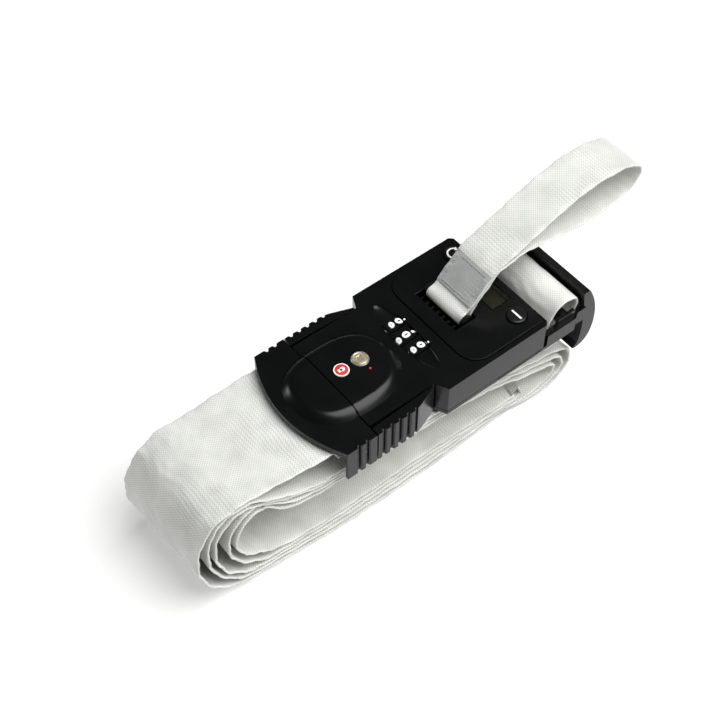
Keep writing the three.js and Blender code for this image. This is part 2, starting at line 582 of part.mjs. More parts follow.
add("link_hook", join(
  box(linkX - 5, linkX + 5, linkY - linkLength / 2 + 0.6, linkY + linkLength / 2 - 0.6, hookZ, hookZ + 1.2),
  ...sides.map(([, side]) => {
    const y = linkY + side * (loopWidth / 2 + 0.9);
    return cut(join(box(linkX - 3, linkX + 3, y - 0.6, y + 0.6, hookZ, linkZ),
      rod(linkX, linkZ, y - 0.6, y + 0.6, 3)), rod(linkX, linkZ, y - 2, y + 2, linkRadius + 0.08));
  })), steel);
const cellFoot = bottom + door.thick + 0.7;
const cellTop = cellFoot + cellThick;
add("coin_cell", post(...cellAt, cellFoot, cellTop, cellRadius, 36), steel);
const contact = { half: 5, halfWidth: 2, thick: 0.3, leaf: 1.4 };
const contactSpan = [cellAt[1] - contact.halfWidth, cellAt[1] + contact.halfWidth];
const contactEnd = cellAt[0] + contact.half;
add("battery_contact", join(
  box(cellAt[0] - contact.half, contactEnd, ...contactSpan, cellTop, cellTop + contact.thick),
  box(contactEnd - contact.leaf, contactEnd, ...contactSpan, cellTop + 0.1, underBoard - 0.2)), steel);
add("battery_door", box(door.x0, door.x1, -shellHalf, door.y1, bottom, bottom + door.thick), blackNylon);

// Pull link and hand loop.
add("pull_link", rod(linkX, linkZ, linkY - linkLength / 2, linkY + linkLength / 2, linkRadius), steel);
add("hand_loop", band(loopRoute(), loopWidth, loopThick, true), webbing);
add("adjuster_bar", rod(barX, barZ, -cheekHalf - barSeat, cheekHalf + barSeat, barRadius), blackNylon);

// Combination lock.
const lockZ = -dialDepth, digits = 10, notchRadius = 0.45, sleeveGap = 0.1;
const dialEnds = dialMiddleY + 1.5 * dialPitch + 1.5;
add("dial_shaft", rod(dialX, lockZ, 2 * dialMiddleY - dialEnds, dialEnds, shaftRadius), steel);
for (let i = 0; i < 3; i += 1) {
  const y = dialMiddleY + (1 - i) * dialPitch;
  const half = dialWidth / 2, sleeveHalf = half + dialSideGap;
  const wheel = rod(dialX, lockZ, y - half, y + half, dialRadius, 40);
  const notches = [];
  for (let n = 0; n < digits; n += 1) {
    const angle = THREE.MathUtils.degToRad(dialTurns[i]) + ((n + 0.5) / digits) * 2 * Math.PI;
    notches.push(rod(dialX + dialRadius * Math.sin(angle), lockZ + dialRadius * Math.cos(angle),
      y - half - overlap, y + half + overlap, notchRadius, 8));
  }
  const bore = (radius) => rod(dialX, lockZ, y - dialPitch, y + dialPitch, radius);
  add(`dial_${i + 1}`, cut(wheel, bore(sleeveRadius + sleeveGap), ...notches), blackNylon);
  const sleeve = rod(dialX, lockZ, y - sleeveHalf, y + sleeveHalf, sleeveRadius);
  add(`dial_sleeve_${i + 1}`, cut(sleeve, bore(shaftRadius + sleeveGap)), zinc);
}
const leaf = { x0: dialX - 5, x1: dialX + dialRadius + 0.1, z0: floorTop + 0.2, z1: lockZ + 0.2 };
const leafOuter = leaf.x1 + 0.3, leafTop = leaf.z0 + 0.25, leafHalf = 10.5;
const leafSide = [[leaf.x0, leaf.z0], [leafOuter, leaf.z0], [leafOuter, leaf.z1], [leaf.x1, leaf.z1],
  [leaf.x1, leafTop], [leaf.x0, leafTop]];
add("detent_spring", profileRun(leafSide, dialMiddleY - leafHalf, dialMiddleY + leafHalf), steel);
const slideX = 20.8;
const slidePost = box(slideX + 1, slideX + 4, -2, 4, -8, -5);
add("locking_slide", join(box(slideX, slideX + 8.6, -8, 9, -9.9, -7.6), slidePost), zinc);
add("key_cylinder", cut(post(keyX, keyY, -8.4, domeHeight + 0.35, keyRadius, 32),
  post(keyX, keyY, domeHeight - 1.6, domeHeight + 2, 1.05, 12)), brass);
add("key_cam", join(post(keyX, keyY, -10.2, -8.7, 3, 20),
  box(keyX - 4.6, keyX, keyY - 1.4, keyY + 1.4, -10.2, -8.7)), zinc);
add("cylinder_collar", cut(post(keyX, keyY, -2.2, domeHeight + 0.15, collarRadius, 32),
  post(keyX, keyY, -6, 8, keyRadius + 0.08, 32)), steel);
add("lock_badge", post(6.6, 1.2, domeHeight + 0.1, domeHeight + 0.45, 3.1, 32), badgeEnamel);

// Release arms.
for (const [name, side] of sides) {
  add(`release_arm_${name}`, releaseArm(side), blackPlastic);
  const pin = post(armPin.x, side * armPin.y, floorTop + gap, top - gap, armPin.radius, 16);
  add(`arm_pin_${name}`, pin, steel);
  add(`arm_spring_${name}`, coilSpring(side), steel);
}

// Plug.
add("plug_cover", plugCover(), blackPlastic);
add("plug_tongue", plugTongue(), blackNylon);
add("anchor_bar", rod(anchor.x, anchor.z, -armHalf + 0.8, armHalf - 0.8, anchor.radius), steel);

// Webbing.
add("strap_lead", band(leadRoute(), strapWidth, strapThick), webbing);
add("strap_wound", band(woundRoute(), strapWidth, strapThick), webbing);

// ---- place: origin at the middle of the footprint, on the surface that the webbing lies on -------------
const assembly = new THREE.Group();
assembly.add(buckle);
const extent = new THREE.Box3().setFromObject(buckle);
buckle.position.set(-(extent.min.x + extent.max.x) / 2, -(extent.min.y + extent.max.y) / 2, -extent.min.z);

export default assembly;
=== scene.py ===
# Luggage strap: combination-lock buckle with a built-in hand scale, its wound webbing and hand loop.
# Sizes are millimetres in the buckle's own frame: X = 0 is the seam between plug and housing, Y = 0
# the buckle's middle, Z = 0 its top face. at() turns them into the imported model's metres.
import json
import math

import bmesh
import bpy
import numpy as np
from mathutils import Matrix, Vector

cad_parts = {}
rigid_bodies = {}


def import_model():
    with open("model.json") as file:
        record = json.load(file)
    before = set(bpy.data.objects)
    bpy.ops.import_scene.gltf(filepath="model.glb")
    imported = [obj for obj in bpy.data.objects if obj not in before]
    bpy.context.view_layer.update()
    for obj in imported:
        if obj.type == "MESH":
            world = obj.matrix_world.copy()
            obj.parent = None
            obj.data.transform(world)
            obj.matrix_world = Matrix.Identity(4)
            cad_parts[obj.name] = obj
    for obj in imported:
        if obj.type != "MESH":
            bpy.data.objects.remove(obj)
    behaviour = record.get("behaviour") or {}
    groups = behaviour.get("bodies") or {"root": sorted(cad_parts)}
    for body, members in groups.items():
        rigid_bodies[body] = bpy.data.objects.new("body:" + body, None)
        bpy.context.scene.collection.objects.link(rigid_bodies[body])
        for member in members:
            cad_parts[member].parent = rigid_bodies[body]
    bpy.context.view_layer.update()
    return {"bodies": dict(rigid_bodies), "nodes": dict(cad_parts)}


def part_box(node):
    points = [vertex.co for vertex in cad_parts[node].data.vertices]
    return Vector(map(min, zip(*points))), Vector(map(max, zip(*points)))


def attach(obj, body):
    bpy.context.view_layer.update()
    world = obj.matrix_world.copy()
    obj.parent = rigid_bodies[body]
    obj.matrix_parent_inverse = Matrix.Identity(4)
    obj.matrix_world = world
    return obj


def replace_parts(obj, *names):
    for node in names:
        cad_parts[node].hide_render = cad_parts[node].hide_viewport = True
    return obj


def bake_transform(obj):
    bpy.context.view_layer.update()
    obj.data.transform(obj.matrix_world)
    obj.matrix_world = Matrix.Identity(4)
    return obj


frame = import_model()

# ---- places ----------------------------------------------------------------------------------------
MM = 0.001
SEAM_GAP = 0.25                  # the housing starts this far from the seam
cover_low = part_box("housing_cover")[0]
left_arm_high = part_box("release_arm_left")[1]
right_arm_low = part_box("release_arm_right")[0]
origin = Vector((cover_low.x - SEAM_GAP * MM, (left_arm_high.y + right_arm_low.y) / 2, left_arm_high.z))


def at(x, y, z):
    return origin + Vector((x, y, z)) * MM


def buckle_box(node):
    """A CAD node's lowest and highest corner, in millimetres in the buckle's frame."""
    low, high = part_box(node)
    return (low - origin) / MM, (high - origin) / MM


FLOOR = -origin.z / MM           # the surface that the webbing lies on

# ---- camera, lights and floor ------------------------------------------------------------------------
CAMERA_AT = (-193.0, -260.5, 433.4)
HEADING, PITCH = math.radians(51.4516), math.radians(52.1863)
LENS, SENSOR = 72.06, 36


def make_camera():
    data = bpy.data.cameras.new("camera")
    data.lens, data.sensor_width = LENS, SENSOR
    camera = bpy.data.objects.new("camera", data)
    camera.location = at(*CAMERA_AT)
    forward = Vector((math.cos(HEADING) * math.cos(PITCH), math.sin(HEADING) * math.cos(PITCH),
                      -math.sin(PITCH)))
    camera.rotation_euler = forward.to_track_quat("-Z", "Y").to_euler()
    bpy.context.scene.collection.objects.link(camera)
    bpy.context.scene.camera = camera


def soft_light(name, place, target, size, power):
    data = bpy.data.lights.new(name, "AREA")
    data.shape, data.size, data.energy = "DISK", size, power
    light = bpy.data.objects.new(name, data)
    light.location = place
    light.rotation_euler = (Vector(target) - Vector(place)).to_track_quat("-Z", "Y").to_euler()
    bpy.context.scene.collection.objects.link(light)


def make_studio():
    soft_light("overhead", (0.34, -0.42, 1.25), (0, 0, 0.03), 1.3, 28.5)
    soft_light("near_fill", (0.5, -1.0, 0.45), (0, 0, 0.03), 0.4, 0.8)
    soft_light("edge_light", (-0.55, 0.85, 0.5), (0, 0, 0.05), 0.25, 1.2)
    world = bpy.data.worlds.new("studio")
    world.use_nodes = True
    world.node_tree.nodes["Background"].inputs["Color"].default_value = (1, 1, 1, 1)
    world.node_tree.nodes["Background"].inputs["Strength"].default_value = 0.1
    bpy.context.scene.world = world
    bpy.context.scene.view_settings.view_transform = "Standard"
    floor = mesh_object("floor", [(-4, -4, 0), (4, -4, 0), (4, 4, 0), (-4, 4, 0)], [(0, 1, 2, 3)])
    floor.data.materials.append(light_table())


# ---- small helpers -----------------------------------------------------------------------------------
def mesh_object(name, points, faces):
    mesh = bpy.data.meshes.new(name)
    mesh.from_pydata([tuple(p) for p in points], [], faces)
    mesh.update()
    piece = bpy.data.objects.new(name, mesh)
    bpy.context.scene.collection.objects.link(piece)
    return piece


def outward_faces(piece):
    work = bmesh.new()
    work.from_mesh(piece.data)
    bmesh.ops.recalc_face_normals(work, faces=work.faces)
    work.to_mesh(piece.data)
    work.free()


def band(near, far, count):
    """Faces between two rings of count points, from the index of each ring's first point."""
    return [(near + k, near + (k + 1) % count, far + (k + 1) % count, far + k) for k in range(count)]


def linear(code):
    """An sRGB hex colour as linear RGBA."""
    parts = [int(code[i:i + 2], 16) / 255 for i in (1, 3, 5)]
    return [c / 12.92 if c <= 0.04045 else ((c + 0.055) / 1.055) ** 2.4 for c in parts] + [1]


def add(tree, kind, inputs=None, **settings):
    """One node with its settings; each input is a value or another node's output."""
    node = tree.nodes.new("ShaderNode" + kind)
    for key, value in settings.items():
        setattr(node, key, value)
    for key, value in (inputs or {}).items():
        if isinstance(value, bpy.types.NodeSocket):
            tree.links.new(value, node.inputs[key])
        else:
            node.inputs[key].default_value = value
    return node


def new_material(name, **values):
    """A material with its Principled shader, whose constant values are set on its own sockets."""
    material = bpy.data.materials.new(name)
    material.use_nodes = True
    shader = material.node_tree.nodes["Principled BSDF"]
    for key, value in values.items():
        shader.inputs[key.replace("_", " ")].default_value = value
    return material, material.node_tree, shader


def ramp(tree, factor, low, high, dark, light):
    """Colours from dark to light as factor goes from low to high."""
    node = add(tree, "ValToRGB", {"Fac": factor})
    node.color_ramp.elements[0].position, node.color_ramp.elements[1].position = low, high
    node.color_ramp.elements[0].color, node.color_ramp.elements[1].color = linear(dark), linear(light)
    return node.outputs["Color"]


# ---- materials ---------------------------------------------------------------------------------------
def light_table():
    """Matt opal acrylic lit from below, as a studio's light table is: pale, with weak shadows."""
    material, _, shader = new_material("opal_acrylic", Roughness=0.9, Emission_Strength=0.3)
    shader.inputs["Base Color"].default_value = linear("#dadad9")
    shader.inputs["Emission Color"].default_value = linear("#ffffff")
    shader.inputs["Specular IOR Level"].default_value = 0.1
    return material


def moulded_plastic(name, dark, light, rough, grain_mm, grain_depth_mm):
    """Injection-moulded plastic: a fine spark-eroded grain breaks up its soft gloss."""
    material, tree, shader = new_material(name, IOR=1.53, Specular_IOR_Level=0.22)
    place = add(tree, "TexCoord").outputs["Object"]
    grain = add(tree, "TexNoise", {"Vector": place, "Scale": 1 / (grain_mm * MM), "Detail": 3.0})
    patches = add(tree, "TexNoise", {"Vector": place, "Scale": 1 / (14 * MM), "Detail": 2.0})
    tree.links.new(ramp(tree, patches.outputs["Fac"], 0.35, 0.7, dark, light), shader.inputs["Base Color"])
    sheen = add(tree, "MapRange", {"Value": patches.outputs["Fac"], "From Min": 0.3, "From Max": 0.7,
                                   "To Min": rough - 0.015, "To Max": rough + 0.015})
    tree.links.new(sheen.outputs["Result"], shader.inputs["Roughness"])
    bump = add(tree, "Bump", {"Height": grain.outputs["Fac"], "Strength": 0.2,
                              "Distance": grain_depth_mm * MM})
    tree.links.new(bump.outputs["Normal"], shader.inputs["Normal"])
    return material


def woven_polyester(name, dark, light):
    """Silver polyester webbing in a plain weave: a dot at each crossing, fine cross ribs in places,
    and a satin gloss along the warp."""
    warp_mm, weft_mm = 0.62, 0.58   # drawn about twice as coarse as real yarns, so that they show
    rib_mm = 1.4
    material, tree, shader = new_material(name, IOR=1.5)
    uv = add(tree, "UVMap", uv_map="lay").outputs["UV"]
    parts = add(tree, "SeparateXYZ", {"Vector": uv})

    def wave(output, pitch):
        turns = add(tree, "Math", {0: parts.outputs[output], 1: math.pi / (pitch * MM)},
                    operation="MULTIPLY")
        return add(tree, "Math", {0: turns.outputs[0]}, operation="SINE").outputs[0]
    weave = add(tree, "Math", {0: wave("X", weft_mm), 1: wave("Y", warp_mm)},
                operation="MULTIPLY").outputs[0]
    drift = add(tree, "TexNoise", {"Vector": uv, "Scale": 1 / (11 * MM), "Detail": 3.0}).outputs["Fac"]
    patchy = add(tree, "TexNoise", {"Vector": uv, "Scale": 1 / (26 * MM), "Detail": 1.0}).outputs["Fac"]
    where = add(tree, "MapRange", {"Value": patchy, "From Min": 0.42, "From Max": 0.62}).outputs["Result"]
    wavy = add(tree, "Math", {0: drift, 1: 2.4 * MM, 2: parts.outputs["X"]},
               operation="MULTIPLY_ADD").outputs[0]
    rib_turns = add(tree, "Math", {0: wavy, 1: 2 * math.pi / (rib_mm * MM)},
                    operation="MULTIPLY").outputs[0]
    rib_wave = add(tree, "Math", {0: rib_turns}, operation="SINE").outputs[0]
    ribs = add(tree, "Math", {0: rib_wave, 1: where}, operation="MULTIPLY").outputs[0]
    fibre = add(tree, "Mapping", {"Vector": uv, "Scale": (1 / (6 * MM), 1 / (0.35 * MM), 1)})
    fibres = add(tree, "TexNoise", {"Vector": fibre.outputs["Vector"], "Scale": 1.0,
                                    "Detail": 2.0}).outputs["Fac"]
    tone = ramp(tree, drift, 0.3, 0.75, dark, light)
    dots = ramp(tree, weave, 0.2, 0.95, "#ffffff", "#b9bab6")
    lines = ramp(tree, ribs, 0.1, 1.0, "#ffffff", "#c9cac6")
    dotted = add(tree, "Mix", {"Factor": 0.75, "A": tone, "B": dots}, data_type="RGBA", blend_type="MULTIPLY")
    ribbed = add(tree, "Mix", {"Factor": 0.4, "A": dotted.outputs["Result"], "B": lines},
                 data_type="RGBA", blend_type="MULTIPLY")
    tree.links.new(ribbed.outputs["Result"], shader.inputs["Base Color"])
    rough = add(tree, "MapRange", {"Value": fibres, "To Min": 0.26, "To Max": 0.42})
    tree.links.new(rough.outputs["Result"], shader.inputs["Roughness"])
    threads = add(tree, "Math", {0: weave, 1: 0.5, 2: fibres}, operation="MULTIPLY_ADD").outputs[0]
    height = add(tree, "Math", {0: ribs, 1: 0.6, 2: threads}, operation="MULTIPLY_ADD")
    bump = add(tree, "Bump", {"Height": height.outputs[0], "Strength": 0.45, "Distance": 0.06 * MM})
    tree.links.new(bump.outputs["Normal"], shader.inputs["Normal"])
    shader.inputs["Sheen Weight"].default_value = 0.1
    return material


def worked_metal(name, dark, light, rough, brush_mm):
    """Drawn or turned metal: fine lines along the piece and small changes of tone."""
    material, tree, shader = new_material(name, Metallic=1.0)
    place = add(tree, "TexCoord").outputs["Object"]
    lines = add(tree, "Mapping", {"Vector": place, "Scale": (1 / (brush_mm * MM), 120, 1 / (brush_mm * MM))})
    noise = add(tree, "TexNoise", {"Vector": lines.outputs["Vector"], "Scale": 1.0,
                                   "Detail": 3.0}).outputs["Fac"]
    tree.links.new(ramp(tree, noise, 0.3, 0.7, dark, light), shader.inputs["Base Color"])
    spread = add(tree, "MapRange", {"Value": noise, "To Min": rough - 0.06, "To Max": rough + 0.06})
    tree.links.new(spread.outputs["Result"], shader.inputs["Roughness"])
    bump = add(tree, "Bump", {"Height": noise, "Strength": 0.2, "Distance": 0.02 * MM})
    tree.links.new(bump.outputs["Normal"], shader.inputs["Normal"])
    return material


def printed_ink(name, colour):
    """Pad-printed ink: flat, slightly uneven and a little glossier than the plastic under it."""
    material, tree, shader = new_material(name, IOR=1.5)
    place = add(tree, "TexCoord").outputs["Object"]
    mottle = add(tree, "TexNoise", {"Vector": place, "Scale": 1 / (0.6 * MM), "Detail": 2.0}).outputs["Fac"]
    shader.inputs["Base Color"].default_value = linear(colour)
    rough = add(tree, "MapRange", {"Value": mottle, "To Min": 0.32, "To Max": 0.5})
    tree.links.new(rough.outputs["Result"], shader.inputs["Roughness"])
    return material


def clear_acrylic():
    """Polished smoked acrylic: a clear dark window with a sharp gloss and a few hairline scuffs."""
    material, tree, shader = new_material("smoked_acrylic", IOR=1.49, Alpha=0.4)
    place = add(tree, "TexCoord").outputs["Object"]
    scuffs = add(tree, "TexNoise", {"Vector": place, "Scale": 1 / (1.5 * MM), "Detail": 4.0}).outputs["Fac"]
    tree.links.new(ramp(tree, scuffs, 0.4, 0.8, "#16160f", "#1f1f17"), shader.inputs["Base Color"])
    rough = add(tree, "MapRange", {"Value": scuffs, "To Min": 0.04, "To Max": 0.14})
    tree.links.new(rough.outputs["Result"], shader.inputs["Roughness"])
    return material


abs_plastic = moulded_plastic("moulded_black_abs", "#060707", "#090a0a", 0.24, 0.3, 0.005)
nylon = moulded_plastic("moulded_black_nylon", "#080909", "#0d0e0e", 0.34, 0.35, 0.008)
polyester = woven_polyester("woven_polyester", "#cfd0cb", "#e3e4df")
# the same webbing in darker tones, for the sewn ply: painted shade for the ply leaning away from the light,
# not a different cloth
shaded_polyester = woven_polyester("woven_polyester_painted_shade", "#a3a5a4", "#babcba")
thread = printed_ink("polyester_thread", "#a9aba9")
bright_steel = worked_metal("drawn_steel", "#c3c5c8", "#dddfe1", 0.36, 0.15)
black_steel = worked_metal("blackened_steel", "#242526", "#38393b", 0.38, 0.2)
zinc_alloy = worked_metal("die_cast_zinc", "#85888c", "#9da0a4", 0.4, 0.4)
turned_brass = worked_metal("turned_brass", "#e0c88c", "#f8e9c0", 0.4, 0.12)
smoked_acrylic = clear_acrylic()
liquid_crystal = printed_ink("liquid_crystal_panel", "#4b4a33")
glass_epoxy = moulded_plastic("glass_epoxy_board", "#173f25", "#1f4f30", 0.45, 0.5, 0.01)
white_ink = printed_ink("white_pad_print", "#f1f1ee")
red_enamel = printed_ink("red_enamel", "#d32a20")

# ---- webbing -----------------------------------------------------------------------------------------
STRAP_WIDTH, LOOP_WIDTH = 50.0, 20.0
STRAP_THICK, LOOP_THICK = 1.3, 1.2         # as wound, with the air between the turns
CLOTH = 1.0                                # the webbing itself
TURN_PITCH = 2.1
LEAD_Y, LEAD_END = 2.0, -50.0              # the lead's middle, and where the wound strap takes over
LEAD_REACH = 75                            # the lead is cut within this length from its sewn end
BEND_Y, BEND_ROLL = 3.4, -9.0              # the far bends' middle, and their lean in degrees
GAP = 0.3
RIB_HIGH, CREASE_HIGH, FOLD_HIGH, WAVE_HIGH = 0.1, 0.07, 0.06, 0.27
LOOP_RISE = math.radians(46)               # slope of the loop's sewn part
LOOP_SPREAD = 0.85                         # each side of the loop's sewn part lies this far off the slope
link_low, link_high = buckle_box("pull_link")
LINK_X, LINK_Y, LINK_Z = (link_low + link_high) / 2


def up_the_loop(along, side):
    """X and Z of a place along the loop's slope from the pull link, and to one side of the slope."""
    c, s = math.cos(LOOP_RISE), math.sin(LOOP_RISE)
    return LINK_X + c * along - s * side, LINK_Z + s * along + c * side


def lead_route():
    """From the sewn end round the plug's anchor bar, and out of the plug."""
    low, high = buckle_box("anchor_bar")
    x, z, radius = (low.x + high.x) / 2, (low.z + high.z) / 2, (high.z - low.z) / 2
    r = radius + GAP + STRAP_THICK / 2
    return [(x - 8, z - r, LEAD_Y), (x - 3, z - r, LEAD_Y), (x, z - r, LEAD_Y),
            (x + r * 0.7, z - r * 0.7, LEAD_Y), (x + r, z, LEAD_Y), (x + r * 0.7, z + r * 0.7, LEAD_Y),
            (x, z + r, LEAD_Y), (x - 5, z + r, LEAD_Y), (-22, -4.8, LEAD_Y + 0.3, -1), (-36, -5, 2.9, -4),
            (LEAD_END + 0.2, -4.9, 3.1, -7)]


FAR_BENDS = [
    [(-60, -5), (-68, -8.2), (-74.4, -16.4), (-76.8, -27), (-75.4, -38.4), (-70.6, -48.2), (-61.5, -53.9)],
    [(-52, -7.3), (-61.5, -8.2), (-68.4, -13), (-71.8, -22.5), (-71.4, -33.6), (-67.2, -44.2), (-59, -51.8)],
    [(-50, -11), (-59.5, -11), (-66, -16.2), (-68.9, -25.7), (-67.6, -36.4), (-63.6, -44.8), (-55.5, -50.6)],
    [(-47, -13), (-54.5, -13.6), (-60.6, -19.2), (-63, -27.6), (-61.4, -37), (-56.6, -44.6), (-48.5, -49.2)],
    [(-45, -16.6), (-51, -17), (-57, -21.2), (-59.4, -28.6), (-57.8, -36.2), (-52.4, -42.6), (-44.5, -46.2)],
]
NEAR_BENDS = [
    [(93, -57), (102.5, -54), (108, -47), (107.2, -39.4), (100.5, -34.2)],
    [(88, -54.9), (98, -52.4), (103.8, -47), (103, -41), (96.6, -37.2)],
    [(83, -52.8), (92.6, -50.8), (99, -47), (98.8, -43), (92.6, -40)],
]
FAN_OUT = [-2.2, -1.5, -0.9, -0.4, 0]
UNDER_RUN = [(86, -30.6), (68, -26.2), (42, -22), (14, -20.2), (-8, -20.4), (-22, -19.4), (-34, -16.6)]
ADJUSTER_RUN = [(-38, -13, 1.9, BEND_ROLL * 0.35), (-24, -17.5, 1.8), (-8, -18.2, 1.6), (14, -18.1, 0.5),
                (42, -19.4), (68, -22.6), (86, -24.6), (97, -24.3), (102.6, -20.5), (103.9, -14), (105.1, -8),
                (104.9, -3.8), (101.2, -1.2), (96.6, -1.8), (92.6, -5), (90.2, -9.8), (88.6, -14.5),
                (85.4, -18.2)]


def resting(turn):
    """Height of a turn's middle where it lies on the floor or on the turns below it."""
    return FLOOR + STRAP_THICK / 2 - 0.05 + turn * TURN_PITCH


def far_bend(turn):
    shares = (0.7, 1, 1, 1, 1, 0.9, 0.5)
    return [(x, z, BEND_Y, BEND_ROLL * share) for (x, z, *_), share in zip(FAR_BENDS[turn], shares)]


def near_bend(turn):
    return [(x, z, 1, 0) for x, z in NEAR_BENDS[turn]]


def on_floor(turn):
    points = []
    for x in (-36, -14, 10, 34, 58, 74):
        spread = math.sin(math.pi * (x + 62) / 160) ** 1.5
        lifted = x < -30
        points.append((x, resting(turn) + (1.5 if lifted else 0), BEND_Y + FAN_OUT[turn] * spread,
                       BEND_ROLL / 9 if lifted else 0))
    return points


def under_buckle(row):
    return [(x - row * 2, z - row * (3.2 if i == 0 else 2), 1.8 if i > 3 else 1,
             BEND_ROLL * 0.4 if i > 5 else 0) for i, (x, z) in enumerate(UNDER_RUN)]


def wound_route():
    """The whole wound strap, from the end of the lead to the free tail."""
    def turn(far, near, row):
        return far_bend(far) + on_floor(far) + near_bend(near) + under_buckle(row)
    low, high = resting(3), resting(4)
    fold = [(72, high, 2.4), (80.5, high - 0.1, 2.4), (82.4, (high + low) / 2, 2), (80.5, low + 0.1, 2),
            (72, low, 2)]
    first = turn(0, 0, 0) + turn(2, 2, 2) + far_bend(4) + on_floor(4)[:4]
    second = (far_bend(3) + on_floor(3)[:4])[::-1]
    third = turn(1, 1, 1)[::-1]
    return first + fold + second + third + ADJUSTER_RUN


def loop_route():
    """The hand loop: round the pull link, up its sewn part and round."""
    r = (link_high.z - link_low.z) / 2 + GAP + LOOP_THICK / 2
    round_link = [(3.4, -1.3), (0.4, -r), (-r * 0.72, -r * 0.7), (-r, 0), (-r * 0.72, r * 0.7), (0.4, r),
                  (3.4, 1.3), (9, LOOP_SPREAD), (16, LOOP_SPREAD), (22, 0.95)]
    free = [(80, 18.8), (86, 20.8), (93, 23.4), (103, 27.2), (114, 30.6), (125, 32.8), (136, 32.8),
            (145.6, 31), (151.4, 27.6), (153, 23.4), (151, 19.2), (147, 16.2), (139.5, 13.9), (125, 12.8),
            (112, 14.2), (101, 16.8), (92, 18.2), (84, 17.4)]
    back = [(22, -0.75), (16, -LOOP_SPREAD), (9, -LOOP_SPREAD)]
    route = [up_the_loop(*p) for p in round_link] + free + [up_the_loop(*p) for p in back]
    return [(x, z, LINK_Y, 0) for x, z in route]


def smooth_line(route, closed):
    """Points and roll along a centripetal Catmull-Rom curve through a route of (x, z, y, roll)."""
    full = [(*p, 0, 0)[:4] if len(p) == 2 else (*p, 0)[:4] for p in route]
    points = np.array([(x, y, z) for x, z, y, _ in full], float)
    rolls = np.radians([p[3] for p in full])
    count = len(points)
    spans = count if closed else count - 1
    places, tilts = [], []
    for i in range(spans):
        p1, p2 = points[i], points[(i + 1) % count]
        p0 = points[i - 1] if closed or i else 2 * p1 - p2
        p3 = points[(i + 2) % count] if closed or i + 2 < count else 2 * p2 - p1
        d0, d1, d2 = (max(np.linalg.norm(b - a), 1e-6) ** 0.5 for a, b in ((p0, p1), (p1, p2), (p2, p3)))
        m1 = ((p1 - p0) / d0 - (p2 - p0) / (d0 + d1) + (p2 - p1) / d1) * d1
        m2 = ((p2 - p1) / d1 - (p3 - p1) / (d1 + d2) + (p3 - p2) / d2) * d1
        steps = np.linspace(0, 1, 40, endpoint=False)[:, None]
        places.append(p1 + m1 * steps + (3 * (p2 - p1) - 2 * m1 - m2) * steps ** 2
                      + (2 * (p1 - p2) + m1 + m2) * steps ** 3)
        tilts.append(rolls[i] + (rolls[(i + 1) % count] - rolls[i]) * steps[:, 0])
    if not closed:
        places.append(points[-1:])
        tilts.append(rolls[-1:])
    return np.concatenate(places), np.concatenate(tilts)


def evenly(places, tilts, step, closed):
    """The line again, in equal steps: places, unit directions, tilts, distances along."""
    if closed:
        places, tilts = np.vstack([places, places[:1]]), np.append(tilts, tilts[0])
    far = np.concatenate([[0], np.cumsum(np.linalg.norm(np.diff(places, axis=0), axis=1))])
    count = int(round(far[-1] / step))
    along = np.linspace(0, far[-1], count, endpoint=not closed)
    centre = np.stack([np.interp(along, far, places[:, k]) for k in range(3)], 1)
    ahead = np.roll(centre, -1, 0) if closed else np.vstack([centre[1:], 2 * centre[-1] - centre[-2]])
    behind = np.roll(centre, 1, 0) if closed else np.vstack([2 * centre[0] - centre[1], centre[:-1]])
    direction = ahead - behind
    direction /= np.linalg.norm(direction, axis=1)[:, None]
    return centre, direction, np.interp(along, far, tilts), along


def bending(direction, step):
    """How sharply the line bends at each place, as a share from 0 to 1, spread along it a little."""
    turn = np.linalg.norm(np.gradient(direction, axis=0), axis=1) / step
    reach = int(9 / step)
    spread = np.convolve(np.pad(turn, reach, mode="edge"), np.hanning(2 * reach + 1) / reach, mode="valid")
    return np.clip(spread * 14, 0, 1)


def ripples(along, across, bent, seed):
    """Height of the cloth's own relief: cross ribs where it bends, patches of slanting creases, and
    edges that wave."""
    s, v = along[:, None], across[None, :]
    wobble = 1.6 * np.sin(v / 7.3 + s / 31 + seed) + 0.9 * np.sin(v / 3.1 - s / 17)
    ribs = np.sin((s + wobble) * 2 * np.pi / 4.3) * (0.6 + 0.4 * np.sin(s / 9.7 + v / 11 + seed))
    patch = np.clip(0.4 + 0.9 * np.sin(s / 19 + seed) * np.sin(v / 7 + s / 37 + 2 * seed), 0, 1)
    creases = patch * np.sin((s * 0.75 + v * 0.65) * 2 * np.pi / 4.6 + 1.9 * np.sin(v / 6 + s / 13 + seed))
    folds = np.sin((s * 0.6 - v * 0.75) * 2 * np.pi / 21 + 1.7 * np.sin(s / 19))
    edge = np.clip((np.abs(v) / np.abs(across).max() - 0.72) / 0.28, 0, 1) ** 2
    waves = edge * (np.sin(s * 2 * np.pi / 12.7 + np.sign(v) * 1.2 + seed)
                    + 0.5 * np.sin(s * 2 * np.pi / 5.3 + s / 23))
    ribs_here = RIB_HIGH * ribs * (0.15 + 0.85 * bent[:, None])
    return ribs_here + CREASE_HIGH * creases + FOLD_HIGH * folds + WAVE_HIGH * waves


